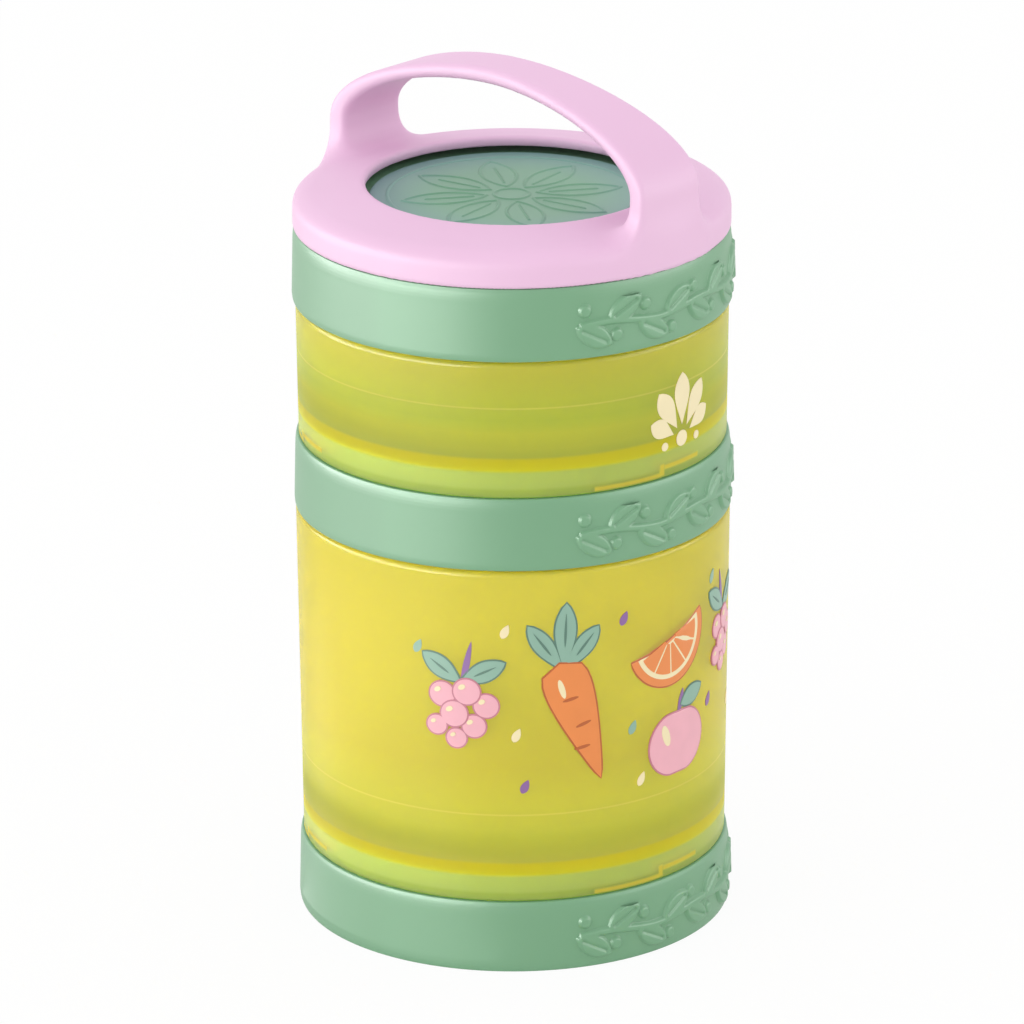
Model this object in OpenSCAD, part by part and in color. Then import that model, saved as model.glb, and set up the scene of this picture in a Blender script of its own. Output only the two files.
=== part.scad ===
// Toddler snack container: two cups that stack on three identical screw caps, with a
// carry handle on the top cap. Millimetres, Z up, the origin is the bottom centre.

/* [Caps] */
// Widest diameter of a cap
cap_od = 80; // [72:0.5:96]
// Height of a cap's band, from its lower edge to its shoulder
cap_h = 13.4; // [12.4:0.2:20]
// Wall of a cap's skirt
cap_wall = 1.5; // [1.2:0.1:2.2]
// Thickness of a cap's shoulder, over the seal
shoulder_t = 1.8; // [1.4:0.1:2.6]
// Height of the plateau that stands up inside the piece above
plateau_h = 4.5; // [4.2:0.1:7]
// Thickness of the plateau's disc and of its wall
disc_t = 2; // [1.4:0.1:2.6]
// Height over which a cap's lower edge rounds in
lip_h = 1.2; // [0.6:0.1:3]
// How far a cap's lower edge rounds in
lip_in = 0.2; // [0.1:0.1:0.9]
// How far a cap's side leans in between its lower edge and its shoulder
cap_lean = 0.25; // [0:0.05:0.4]
// How far a cap's shoulder rounds in
shoulder_in = 0.35; // [0.1:0.05:0.6]
// Height of the shoulder's rounding
shoulder_round = 3; // [1:0.1:4]

/* [Cups] */
// Height of the large cup between its two caps
large_h = 64.2; // [40:0.2:110]
// Height of the small cup between its two caps
small_h = 25.9; // [20:0.1:60]
// Step in from a cap's edge to a cup's foot
cup_inset = 0.9; // [0.5:0.1:1.4]
// Outward lean of a cup's outside, in degrees
cup_draft = 0.6; // [0:0.05:0.8]
// Outward lean of a cup's inside, in degrees
core_draft = 0.3; // [0.1:0.05:0.6]
// Wall of the skirt under a cup's floor
skirt_wall = 2; // [1.6:0.1:2.4]
// Thickness of a cup's floor
floor_t = 1.7; // [1.2:0.1:3]
// Radius between a cup's floor and its wall
floor_fillet = 10; // [3:0.5:12]
// Air between a cap's plateau and the floor over it
floor_gap = 0.8; // [0.5:0.1:2]
// Wall of a cup's threaded neck
neck_wall = 1.5; // [1.2:0.1:2.2]
// Rounding of a cup's shoulder
cup_round = 1; // [0.4:0.1:1.4]
// Seam that is left between a closed cap and the cup's shoulder
seam = 0.3; // [0.2:0.05:0.8]

/* [Threads] */
// Number of thread starts
starts = 4; // [3:1:5]
// Rise in one whole turn
lead = 12; // [10:0.5:14]
// Arc of each start, in degrees
thread_arc = 80; // [40:5:85]
// Depth of a thread
thread_depth = 0.9; // [0.6:0.05:1.1]
// Height of a thread where it leaves the wall
thread_foot = 1.5; // [1.2:0.05:1.6]
// Height of a thread's crest
thread_crest = 0.8; // [0.5:0.05:1]
// Room between a crest and the wall it faces
thread_gap = 0.3; // [0.2:0.05:0.4]

/* [Seals] */
// Thickness of the soft ring between a cup's rim and its cap
seal_t = 1.4; // [1:0.1:2]
// Width of the soft ring
seal_w = 3.6; // [2.6:0.1:4]

/* [Twist locks] */
// Number of lugs and of ledges
lugs = 3; // [2:1:4]
// How far a lug stands out of the plateau
lug_depth = 1.6; // [1.2:0.1:2]
// Height of a lug
lug_h = 1.6; // [1:0.1:1.8]
// Arc of a lug, in degrees
lug_arc = 17; // [10:1:20]
// Room around a lug, in and out
lug_gap = 0.5; // [0.3:0.05:0.7]
// Room between a lug and the ledge under it
ledge_gap = 0.3; // [0.15:0.05:0.5]
// Height of the ledge that a lug holds down
ledge_h = 1; // [0.8:0.1:1.2]
// Arc of a ledge, in degrees
ledge_arc = 21; // [18:1:24]
// Arc of the raised bar past the stop, in degrees
bar_arc = 16; // [8:1:20]
// Height of the raised bar
bar_h = 0.9; // [0.6:0.1:1.2]
// Width of the stop that a lug runs against, in degrees
stop_arc = 1.6; // [1:0.1:3]
// Place of the first ledge, in degrees about Z
lock_at = -25; // [-60:1:60]

/* [Handle] */
// Step in from a cap's edge to the ring's outside
ring_inset = 0.1; // [0:0.1:0.6]
// Air between the top cap's plateau and the ring's underside
ring_air = 0.3; // [0.3:0.05:1.5]
// Width of the ring's outer rounding
ring_round = 4.8; // [3:0.1:6]
// Height of the ring's outer rounding
ring_drop = 3.3; // [1.5:0.1:4]
// Rise of the ring's top from its edge to its hole
ring_rise = 1.3; // [0:0.1:1.6]
// Diameter of the hole in the ring
ring_hole = 52.8; // [48:0.2:60]
// Thickness of the ring's top
ring_t = 1.9; // [1.4:0.1:2.2]
// Height of the arch over the top cap's shoulder
arch_h = 29.6; // [26:0.1:45]
// Thickness of the arch at its crown
arch_t = 3; // [2.4:0.1:4.5]
// Thickness of the arch's legs
leg_t = 4; // [3:0.1:5]
// Height at which the legs start to bend in
arch_bend = 13.3; // [12:0.1:20]
// How long the bend keeps to the leg's line
bend_hold = 10.4; // [6:0.2:12]
// How long the bend keeps to the crown's line
crown_hold = 14; // [8:0.5:20]
// Width of the arch at its crown
arch_w = 9.6; // [6:0.2:14]
// Spread of the arch's width towards the legs, in degrees
arch_spread = 4.3; // [0:0.1:6]
// Width of a leg at its foot
foot_w = 17.4; // [14:0.2:22]

/* [Hidden] */
$fn = 96;

cap_r = cap_od / 2;
cap_ir = cap_r - cap_wall;
cap_crest_r = cap_ir - thread_depth;
neck_crest_r = cap_ir - thread_gap;
neck_r = neck_crest_r - thread_depth;
neck_ir = neck_r - neck_wall;
under_h = cap_h - shoulder_t;          // underside of a cap's shoulder
neck_h = under_h - seal_t;             // a cup's rim, over the lower edge of its cap

cup_r = cap_r - cup_inset;
skirt_ir = cup_r - skirt_wall;
lug_r = skirt_ir - lug_gap;
plateau_r = lug_r - lug_depth;
ledge_ir = plateau_r + lug_gap;
lug_z = ledge_h + ledge_gap;
bar_z = lug_z + ledge_gap;             // the raised bar lies beside the lugs, above the ledges
floor_z = plateau_h + floor_gap + floor_t;

ring_r = cap_r - ring_inset;
ring_edge = plateau_h + ring_air + ring_t;   // top of the ring where its outer rounding starts
ring_ir = ring_hole / 2;
leg_x = ring_r - 0.6;                  // a leg's flat outer face, just inside the ring

z_base = 0;
z_large = z_base + cap_h;
z_middle = z_large + large_h;
z_small = z_middle + cap_h;
z_top = z_small + small_h;
z_ring = z_top + cap_h;

seal_r = cap_ir - thread_gap;
seal_ir = seal_r - seal_w;

bite = 0.5;                            // how deep a thread or a ledge is rooted in its wall

// A quarter ellipse about (cx, cz) from angle a0 to a1, as points of a profile.
function arc(cx, cz, rx, rz, a0, a1, n = 6) =
    [for (i = [0:n]) let (a = a0 + (a1 - a0) * i / n) [cx + rx * cos(a), cz + rz * sin(a)]];

// ---------------------------------------------------------------- threads
// One start: a ridge that climbs from z = 0 at angle 0, faded in and out at its ends.
// side = 1 stands out of a neck, side = -1 stands in from a cap's wall.
module thread(wall_r, side) {
    n = 16;
    fade = 0.15;
    function depth(t) = thread_depth * min(1, 0.25 + 0.75 * min(t, 1 - t) / fade);
    function ring(i) = let (
        t = i / n, a = t * thread_arc, z = lead * a / 360, d = depth(t),
        r0 = wall_r - side * bite, r1 = wall_r + side * d,
        w0 = (thread_foot + bite * (thread_foot - thread_crest) / thread_depth) / 2,
        w1 = (thread_foot - (thread_foot - thread_crest) * d / thread_depth) / 2,
        s = [[r0, -w0], [r1, -w1], [r1, w1], [r0, w0]])
        [for (p = s) [p[0] * cos(a), p[0] * sin(a), z + p[1]]];
    pts = [for (i = [0:n]) for (p = ring(i)) p];
    quads = [for (i = [0:n - 1]) for (k = [0:3])
        let (a = 4 * i + k, b = 4 * i + (k + 1) % 4, c = b + 4, d = a + 4) [a, b, c, d]];
    tris = [for (q = quads) each side > 0 ? [[q[0], q[1], q[2]], [q[0], q[2], q[3]]]
                                          : [[q[2], q[1], q[0]], [q[3], q[2], q[0]]]];
    m = 4 * n;
    ends = side > 0 ? [[0, 2, 1], [0, 3, 2], [m, m + 1, m + 2], [m, m + 2, m + 3]]
                    : [[0, 1, 2], [0, 2, 3], [m + 2, m + 1, m], [m + 3, m + 2, m]];
    polyhedron(points = pts, faces = concat(tris, ends), convexity = 4);
}

thread_rise = lead * thread_arc / 360;
pitch = lead / starts;
// The middle of the room that a cap's skirt and a cup's neck share
thread_z = (neck_h - thread_rise) / 2;

// The neck's ridges lie half a pitch above the cap's: the cap's pass under them and pull.
module neck_threads() for (i = [0:starts - 1])
    rotate([0, 0, 360 / starts * i]) translate([0, 0, thread_z + pitch / 4]) thread(neck_r, 1);
module cap_threads() for (i = [0:starts - 1])
    rotate([0, 0, 360 / starts * i]) translate([0, 0, thread_z - pitch / 4]) thread(cap_ir, -1);

// ---------------------------------------------------------------- twist lock
module sector(r0, r1, z0, z1, a0, a1)
    rotate([0, 0, a0]) rotate_extrude(angle = a1 - a0)
        translate([r0, z0]) square([r1 - r0, z1 - z0]);

// The ledges inside a skirt, from the skirt's lower edge up: a ledge, the stop at its end
// and the raised bar past the stop.
module ledges(top) for (i = [0:lugs - 1]) rotate([0, 0, lock_at + 360 / lugs * i]) {
    up = min(top, bar_z + bar_h);
    sector(ledge_ir, skirt_ir + bite, 0, ledge_h, 0, ledge_arc + stop_arc / 2);
    sector(ledge_ir, skirt_ir + bite, ledge_h / 2, up + 0.15, ledge_arc, ledge_arc + stop_arc);
    sector(ledge_ir, skirt_ir + bite, bar_z, up, ledge_arc + stop_arc / 2, ledge_arc + bar_arc);
}

// The lugs on a cap's plateau: each one ends half a degree short of the stop.
module cap_lugs() for (i = [0:lugs - 1])
    sector(plateau_r - bite, lug_r, lug_z, lug_z + lug_h,
           lock_at + 360 / lugs * i + ledge_arc - 0.5 - lug_arc,
           lock_at + 360 / lugs * i + ledge_arc - 0.5);

// ---------------------------------------------------------------- pieces
// One cap, drawn from its lower edge: skirt, shoulder, plateau, lugs and inner threads.
module cap() {
    top = cap_h + plateau_h;
    rotate_extrude() polygon(concat(
        [[cap_ir, 0]],
        arc(cap_r - lip_in, lip_h, lip_in, lip_h, -90, 0),
        arc(cap_r - cap_lean - shoulder_in, cap_h - shoulder_round, shoulder_in,
            shoulder_round - 0.3, 0, 60, 4),
        [[cup_r + 0.3, cap_h - 0.1], [cup_r, cap_h], [plateau_r, cap_h]],
        arc(plateau_r - 0.8, top - 0.8, 0.8, 0.8, 0, 90, 4),
        [[0, top], [0, top - disc_t], [plateau_r - disc_t, top - disc_t],
         [plateau_r - disc_t, under_h], [cap_ir, under_h]]));
    translate([0, 0, cap_h]) cap_lugs();
    cap_threads();
}

// One cup, drawn from the lower edge of its skirt; h is its height between two caps.
module cup(h) {
    shoulder = h - seam;
    top_r = cup_r + shoulder * tan(cup_draft);
    rim = h + neck_h;
    function bore(z) = neck_ir - (rim - z) * tan(core_draft);
    wall_r = bore(floor_z + floor_fillet);
    rotate_extrude() polygon(concat(
        [[0, floor_z - floor_t], [skirt_ir, floor_z - floor_t], [skirt_ir, 0]],
        arc(cup_r - 0.4, 0.4, 0.4, 0.4, -90, 0, 3),
        arc(top_r - cup_round, shoulder - cup_round, cup_round, cup_round, 0, 90, 5),
        [[neck_r, shoulder]],
        arc(neck_r - 0.4, rim - 0.4, 0.4, 0.4, 0, 90, 3),
        arc(neck_ir + 0.4, rim - 0.4, 0.4, 0.4, 90, 180, 3),
        arc(wall_r - floor_fillet, floor_z + floor_fillet, floor_fillet, floor_fillet, 0, -90, 10),
        [[0, floor_z]]));
    translate([0, 0, h]) neck_threads();
    ledges(floor_z - floor_t);
}

// The soft ring that lies on a cup's rim under its cap's shoulder.
module seal() translate([0, 0, neck_h]) rotate_extrude()
    translate([seal_ir, 0]) square([seal_w, seal_t]);

// The cubic curve of one side of the arch, from the leg's line to the crown.
function bend(x, z0, hold, crown, z1, n = 20) = [for (i = [0:n]) let (t = i / n, u = 1 - t)
    [u * u * u * x + 3 * u * u * t * x + 3 * u * t * t * crown,
     u * u * u * z0 + 3 * u * u * t * (z0 + hold) + (3 * u * t * t + t * t * t) * z1]];

module arch_side() {
    outer = bend(leg_x, arch_bend, bend_hold, crown_hold, arch_h);
    inner = bend(leg_x - leg_t, arch_bend + 0.3, bend_hold * 0.55, crown_hold * 1.47,
                 arch_h - arch_t);
    n = len(inner) - 1;
    foot = ring_edge - ring_t / 2;
    rotate([90, 0, 0]) linear_extrude(height = foot_w, center = true) union() {
        half = concat([[leg_x, foot]], outer, [for (i = [n:-1:0]) inner[i]],
                      [[leg_x - leg_t, foot]]);
        polygon(half);
        polygon([for (p = half) [-p[0], p[1]]]);
    }
}

// The arch's width from above and from the side: it spreads towards the legs and their feet.
module arch_width() {
    w0 = arch_w / 2;
    slope = tan(arch_spread);
    knee = leg_x - leg_t * 2;
    w1 = w0 + slope * knee;
    wf = foot_w / 2;
    linear_extrude(height = arch_h + 1) polygon(concat(
        [[-ring_r, -wf], [-knee - 4, -wf], [-knee, -w1], [0, -w0], [knee, -w1], [knee + 4, -wf],
         [ring_r, -wf]],
        [[ring_r, wf], [knee + 4, wf], [knee, w1], [0, w0], [-knee, w1], [-knee - 4, wf],
         [-ring_r, wf]]));
}
module leg_width() {
    w1 = (arch_w / 2) + tan(arch_spread) * (leg_x - leg_t);
    wf = foot_w / 2;
    z1 = arch_bend + bend_hold * 0.75;
    flare = arc(wf + 0.01, z1, wf - w1, z1 - ring_edge, 180, 270, 8);
    side = concat([[w1, arch_h + 1]], flare, [[wf, ring_edge], [wf, 0]]);
    rotate([90, 0, 90]) linear_extrude(height = 2 * ring_r, center = true)
        polygon(concat(side, [for (i = [len(side) - 1:-1:0]) [-side[i][0], side[i][1]]]));
}

// The handle: a ring that twists onto the top cap's plateau, with the arch over it.
module handle_body() {
    lip = 0.6;
    top = ring_edge + ring_rise;
    rotate_extrude() polygon(concat(
        [[skirt_ir, 0]],
        arc(ring_r - 0.4, 0.4, 0.4, 0.4, -90, 0, 3),
        arc(ring_r - ring_round, ring_edge - ring_drop, ring_round, ring_drop, 0, 84, 9),
        arc(ring_ir + lip, top - lip, lip, lip, 85, 180, 4),
        [[ring_ir + 0.2, top - ring_t], [skirt_ir - 0.6, ring_edge - ring_t],
         [skirt_ir, ring_edge - ring_t - 0.6]]));
    ledges(ring_edge - ring_t - 0.8);
    intersection() {
        arch_side();
        arch_width();
        leg_width();
        cylinder(r = ring_r, h = arch_h + 2);
    }
}

module base_cap() color("#88b393") translate([0, 0, z_base]) cap();
module base_seal() color("#f2f2ee") translate([0, 0, z_base]) seal();
module large_cup() color("#dece52") translate([0, 0, z_large]) cup(large_h);
module middle_seal() color("#f2f2ee") translate([0, 0, z_middle]) seal();
module middle_cap() color("#88b393") translate([0, 0, z_middle]) cap();
module small_cup() color("#b2ba3f") translate([0, 0, z_small]) cup(small_h);
module top_seal() color("#f2f2ee") translate([0, 0, z_top]) seal();
module top_cap() color("#88b393") translate([0, 0, z_top]) cap();
module handle() color("#edc8e6") translate([0, 0, z_ring]) handle_body();

base_cap();
base_seal();
large_cup();
middle_seal();
middle_cap();
small_cup();
top_seal();
top_cap();
handle();
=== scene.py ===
# %% [markdown]
# # A stacking snack container
# Two translucent cups stand on three identical screw caps, and a ring with a carry arch twists
# onto the top cap. The solids with their true sizes, threads and locks come from the CAD model.
# This lesson adds what the eye needs: plastics, prints, raised patterns, a smooth handle, light
# and a camera.

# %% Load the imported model
import math

import bpy
import numpy as np
from mathutils import Matrix, Vector
from mathutils.geometry import delaunay_2d_cdt


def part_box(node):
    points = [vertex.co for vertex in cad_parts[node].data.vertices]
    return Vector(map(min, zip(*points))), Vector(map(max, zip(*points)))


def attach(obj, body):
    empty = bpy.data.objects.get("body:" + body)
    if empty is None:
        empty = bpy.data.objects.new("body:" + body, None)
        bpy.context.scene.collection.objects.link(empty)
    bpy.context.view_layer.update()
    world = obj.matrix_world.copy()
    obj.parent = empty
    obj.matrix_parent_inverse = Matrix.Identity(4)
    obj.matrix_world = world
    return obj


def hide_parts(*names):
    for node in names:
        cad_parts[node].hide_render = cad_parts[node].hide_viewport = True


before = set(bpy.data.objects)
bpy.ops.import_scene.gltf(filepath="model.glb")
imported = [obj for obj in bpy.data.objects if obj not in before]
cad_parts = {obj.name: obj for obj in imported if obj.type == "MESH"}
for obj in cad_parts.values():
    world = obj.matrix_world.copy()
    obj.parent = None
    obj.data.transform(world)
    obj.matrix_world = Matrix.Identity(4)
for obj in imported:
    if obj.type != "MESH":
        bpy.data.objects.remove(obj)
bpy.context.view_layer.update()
MM = 0.001
print("nodes:", sorted(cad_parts))

# %% [markdown]
# Every later step measures itself on the solids. The heights below are read from their boxes,
# so a print or a pattern stays on its piece when a size changes in the CAD model.

# %% Where the pieces lie
boxes = {name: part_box(name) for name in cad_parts}
lowest = {name: box[0][2] for name, box in boxes.items()}
highest = {name: box[1][2] for name, box in boxes.items()}
cap_radius = boxes["base_cap"][1][0]
print("cap radius, mm:", round(cap_radius / MM, 2))
print("lower edges, mm:", {name: round(z / MM, 2) for name, z in sorted(lowest.items())})

# %% [markdown]
# Colours are written as sRGB hex codes, as a paint program shows them. Blender's shaders count in
# linear light, so one function turns the one into the other. A second one adds a shader node with
# its settings and its inputs, where an input is a number, a colour or another node's output. Two
# more spare repeats: an emptied node tree, and a point's distance from the container's axis.

# %% Colours and nodes
def linear(hex_code):
    """An sRGB hex colour in the linear numbers of a shader."""
    channels = [int(hex_code[i:i + 2], 16) / 255 for i in (1, 3, 5)]
    return (*[c / 12.92 if c <= 0.04045 else ((c + 0.055) / 1.055) ** 2.4 for c in channels], 1)


def add(tree, kind, inputs=None, **settings):
    """One node of a tree. settings are its properties, inputs its sockets by name or number."""
    made = tree.nodes.new("ShaderNode" + kind)
    for name, value in settings.items():
        setattr(made, name, value)
    for name, value in (inputs or {}).items():
        if isinstance(value, bpy.types.NodeSocket):
            tree.links.new(value, made.inputs[name])
        else:
            made.inputs[name].default_value = value
    return made


def empty_tree(owner):
    """The node tree of a new material or world, switched on and cleared."""
    owner.use_nodes = True
    owner.node_tree.nodes.clear()
    return owner.node_tree


def off_axis(tree, axes):
    """How far a point is from the container's axis, in metres."""
    flat = add(tree, "CombineXYZ", {0: axes.outputs[0], 1: axes.outputs[1]})
    return add(tree, "VectorMath", {0: flat.outputs[0]}, operation="LENGTH").outputs["Value"]


sage_green = "#78A883"
print("sage green in linear light:", [round(c, 3) for c in linear(sage_green)[:3]])

# %% [markdown]
# ## The view
# The photograph was taken from a little above, with a long lens, which keeps the stack's sides
# almost parallel. The camera is built from three directions: right, up, and back from the object
# to the lens. Its lens and distance were worked out from the ellipses of the caps.

# %% Camera
look_at = Vector((0, 0, 74.45 * MM))
azimuth, elevation, roll = (math.radians(a) for a in (43.67, 19.883, -0.214))
distance, side_step = 1357.8 * MM, 0.18 * MM

right = Vector((math.cos(azimuth), math.sin(azimuth), 0))
back = Vector((math.sin(azimuth) * math.cos(elevation),
               -math.cos(azimuth) * math.cos(elevation), math.sin(elevation)))
up = back.cross(right)
tilted_right = right * math.cos(roll) + up * math.sin(roll)
tilted_up = up * math.cos(roll) - right * math.sin(roll)

lens = bpy.data.cameras.new("camera")
lens.sensor_width, lens.lens = 36, 260.19
camera = bpy.data.objects.new("camera", lens)
camera.matrix_world = Matrix.Translation(look_at + back * distance - right * side_step) @ Matrix(
    (tilted_right, tilted_up, back)).transposed().to_4x4()
bpy.context.scene.collection.objects.link(camera)
bpy.context.scene.camera = camera
print("camera at, mm:", [round(v / MM) for v in camera.location])

# %% [markdown]
# ## Floor and light
# The container stands on a plain white sweep. Its colour only has to be white for the camera, so
# the floor's shader shows white there and keeps a soft shadow, and the plastics see white in
# their gloss and through their walls.

# %% Floor
def mesh_object(name, vertices, faces, smooth=False):
    """A mesh object from lists of points and faces."""
    mesh = bpy.data.meshes.new(name)
    mesh.from_pydata([tuple(v) for v in vertices], [], [tuple(f) for f in faces])
    mesh.polygons.foreach_set("use_smooth", [smooth] * len(faces))
    mesh.update()
    made = bpy.data.objects.new(name, mesh)
    bpy.context.scene.collection.objects.link(made)
    return made


def sees_white(tree):
    """1 for a ray that looks at the room, straight, in a reflection or through a wall."""
    ray = add(tree, "LightPath")
    seen = add(tree, "Math", {0: ray.outputs["Is Camera Ray"],
                              1: ray.outputs["Is Transmission Ray"]}, operation="MAXIMUM")
    return add(tree, "Math", {0: seen.outputs[0], 1: ray.outputs["Is Glossy Ray"]},
               operation="MAXIMUM").outputs[0]


side = 3.0              # metres from the middle to an edge
whiteness = 0.93        # share of plain white; the rest takes the shadow
floor = mesh_object("floor", [(-side, -side, 0), (side, -side, 0), (side, side, 0),
                              (-side, side, 0)], [(0, 1, 2, 3)])
paper = bpy.data.materials.new("white_paper_sweep")
tree = empty_tree(paper)
matte = add(tree, "BsdfDiffuse", {"Color": linear("#F7F7F5")})
glow = add(tree, "Emission", {"Color": (1, 1, 1, 1), "Strength": 1.0})
share = add(tree, "Math", {0: sees_white(tree), 1: whiteness}, operation="MULTIPLY")
mixed = add(tree, "MixShader", {0: share.outputs[0], 1: matte.outputs[0], 2: glow.outputs[0]})
add(tree, "OutputMaterial", {"Surface": mixed.outputs[0]})
floor.data.materials.append(paper)
print("floor, m across:", 2 * side)

# %% [markdown]
# Small plastic goods are shot in a white tent: light comes evenly from all sides, so a colour looks
# the way it is mixed, and only the room under the arch falls into shade. Two white panels and a
# small card that lies on the table are there for the gloss. They are kept out of the diffuse
# light, as polarised panels in a studio are, so they don't wash out the colours. The left panel
# draws one broad soft sheen down the walls, the right one a fainter one, and the card lightens the
# walls' left edge near the table. One weak lamp on the left gives the round shapes a direction.

# %% Lights
def area_light(name, place, size, power, gloss_only=False, aim=look_at):
    """A soft light of the given width and height. It points at the container's middle, or aim."""
    lamp = bpy.data.lights.new(name, "AREA")
    lamp.shape = "RECTANGLE"
    lamp.size, lamp.size_y, lamp.energy = *size, power
    made = bpy.data.objects.new(name, lamp)
    made.location = Vector(place)
    made.rotation_mode = "QUATERNION"
    made.rotation_quaternion = (Vector(place) - Vector(aim)).to_track_quat("Z", "Y")
    made.visible_diffuse = not gloss_only
    bpy.context.scene.collection.objects.link(made)


def around(angle, height, reach):
    """A place that lies angle degrees to the camera's right, seen from the object."""
    a = azimuth + math.radians(angle)
    return (math.sin(a) * reach, -math.cos(a) * reach, height)


area_light("sheen_left", around(-70, 0.15, 0.6), (1.4, 0.3), 18.5, gloss_only=True)
area_light("sheen_right", around(80, 0.25, 0.7), (0.8, 0.4), 4.5, gloss_only=True)
area_light("card_left", around(-72, 0.002, 0.15), (0.2, 0.2), 0.09, gloss_only=True,
           aim=around(-72, 1, 0.15))
area_light("key_left", around(-60, 0.8, 1.1), (0.9, 0.9), 2)

world = bpy.data.worlds.new("white_tent")
bpy.context.scene.world = world
tree = empty_tree(world)
tent = add(tree, "Background", {"Color": (1, 1, 1, 1), "Strength": 1.0})
add(tree, "OutputWorld", {"Surface": tent.outputs[0]})
bpy.context.scene.view_settings.view_transform = "Standard"

# %% [markdown]
# ## Sage green caps
# The caps are injection-moulded polypropylene, coloured through. The mould's fine spark-eroded
# skin gives a satin surface: soft, wide highlights and a barely visible grain. Polypropylene's
# IOR is 1.49. The grain is about 0.25 mm wide and 0.02 mm deep, and the tone drifts over some
# 30 mm, as the colour does in a moulding. A little light also travels 2 mm under the skin.

# %% Cap plastic
grain, grain_depth, tone_drift, glow_reach = 0.25 * MM, 0.02 * MM, 1 / 35, 2 * MM


def satin_plastic(name, colour, shade, roughness, gloss=0.5, rim=None):
    """Moulded, coloured-through plastic with slow drifts of tone and the mould's fine grain.
    rim is a colour painted on the outside of a round face, as painted shade and reflection, and the
    two radii between which it comes."""
    made = bpy.data.materials.new(name)
    tree = empty_tree(made)
    place = add(tree, "TexCoord").outputs["Object"]
    drift = add(tree, "TexNoise", {"Vector": place, "Scale": 1 / tone_drift, "Detail": 2})
    tone = add(tree, "Mix", {"Factor": drift.outputs["Fac"], "A": linear(colour),
                             "B": linear(shade)}, data_type="RGBA")
    # the rim mixes in a painted tone towards the outside: painted shade and reflection
    if rim:
        axes = add(tree, "SeparateXYZ", {0: place})
        outside = add(tree, "MapRange", {"Value": off_axis(tree, axes), "From Min": rim[1],
                                         "From Max": rim[2]})
        tone = add(tree, "Mix", {"Factor": outside.outputs[0], "A": tone.outputs["Result"],
                                 "B": linear(rim[0])}, data_type="RGBA")
    skin = add(tree, "TexNoise", {"Vector": place, "Scale": 1 / grain, "Detail": 2})
    bump = add(tree, "Bump", {"Height": skin.outputs["Fac"], "Strength": 0.25,
                              "Distance": grain_depth})
    shader = add(tree, "BsdfPrincipled", {
        "Base Color": tone.outputs["Result"], "Roughness": roughness, "IOR": 1.49,
        "Specular IOR Level": gloss, "Normal": bump.outputs["Normal"],
        "Subsurface Weight": 0.12, "Subsurface Radius": (glow_reach,) * 3,
        "Subsurface Scale": 1.0})
    add(tree, "OutputMaterial", {"Surface": shader.outputs[0]})
    return made


def dress(node, material):
    """Gives a solid of the CAD model its material."""
    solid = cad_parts[node]
    solid.data.materials.clear()
    solid.data.materials.append(material)


sage = satin_plastic("sage_polypropylene_satin", sage_green, "#74A47F", 0.42)
for node in ("base_cap", "middle_cap", "top_cap"):
    dress(node, sage)
print("sage caps:", [o.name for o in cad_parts.values() if o.data.materials[0] == sage])

# %% [markdown]
# ## Yellow cups
# The cups are polypropylene too, with little pigment. Light goes through the wall, but each skin
# scatters a part of it, so the inside shows under a yellow veil. The pigment works by depth: the
# longer the way through the plastic, the deeper the yellow, so it is an absorption in the volume.
#
# How cloudy a spot looks, and in what tone, depends on what lies behind it and on how light falls
# there. So the cloud's share and tone change by zones, and several of the tones are painted light.
# Most are measured up from the cup's lower edge: the wall turns denser towards the floor, the skirt
# is clearer and shows the green plateau, with a painted green tint of it on top, and its lower edge
# and the seam get painted green shade from the cap. The rounded inner corner gets painted shade, and
# a painted highlight line marks where that corner starts. The floor's slab carries light out to its
# edge, and that shows as a painted yellow glow band. The ledges that the cap's lugs hold down sit
# inside the skirt, three times round, and a painted glow marks them where they meet the wall.

# %% Zones of a cup
locks, lock_start = 3, -25      # how many ledges, and the angle at which the first one starts
# cloud share and tone of the painted glow at the ledges
painted_lock_glow = (0.68, "#FFEC58")
cup_zones = [
    # share of cloud, tone, and bounds: a measure, from, to and softness, in mm or degrees
    (0.52, None, ("height", 6, 19, 7)),                     # over the floor, in the cup's tone
    # the skirt: a painted green tint for the plateau seen through it
    (0.40, "#EAFF88", ("height", -5, 4.9, 0.25)),           # the skirt
    # the skirt's lower edge: painted green shade from the cap
    (0.45, "#D2EA70", ("height", 0.4, 1.8, 0.3)),           # the skirt's lower edge
    # the ledges' bodies: a painted glow
    (0.85, "#FFF540", ("height", -5, 4.9, 0.25), ("radius", 30, 36.9, 0.1)),    # ledges' bodies
    # the floor's slab: a painted yellow glow
    (0.58, "#FAF42E", ("height", 5.1, 7.6, 0.25)),          # the floor's slab
    # the rounded inner corner: painted shade
    (0.66, "#DCE656", ("height", 8.2, 13.5, 1.2)),          # the rounded inner corner
    # the line where that corner starts: a painted highlight
    (0.60, "#F8F47C", ("height", 16.9, 17.1, 0.15)),        # the line where that corner starts
    # the seam: painted shade and a painted green reflection of the cap
    (0.75, "#8CC85A", ("height", -5, 0.3, 0.12)),           # the seam, green from the cap
    # the next three zones are the painted glow of a ledge, its stop and a raised bar
    (*painted_lock_glow, ("turn", 0.5, 21.4, 0.3), ("height", 0.4, 1.2, 0.2)),          # a ledge
    (*painted_lock_glow, ("turn", 21.0, 22.6, 0.3), ("height", 0.5, 2.7, 0.2)),         # its stop
    (*painted_lock_glow, ("turn", 22.6, 37.0, 0.3), ("height", 1.6, 2.5, 0.2)),         # a raised bar
]
print("zones of a cup:", len(cup_zones))

# %% [markdown]
# A cup's skin is then a mix. The clear part is rough glass, and the cloud sends three quarters of
# its light back and lets a quarter glow through to the far side.

# %% Cup plastic
plain_cloud, sent_back, pigment = 0.43, 0.75, 300


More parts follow.
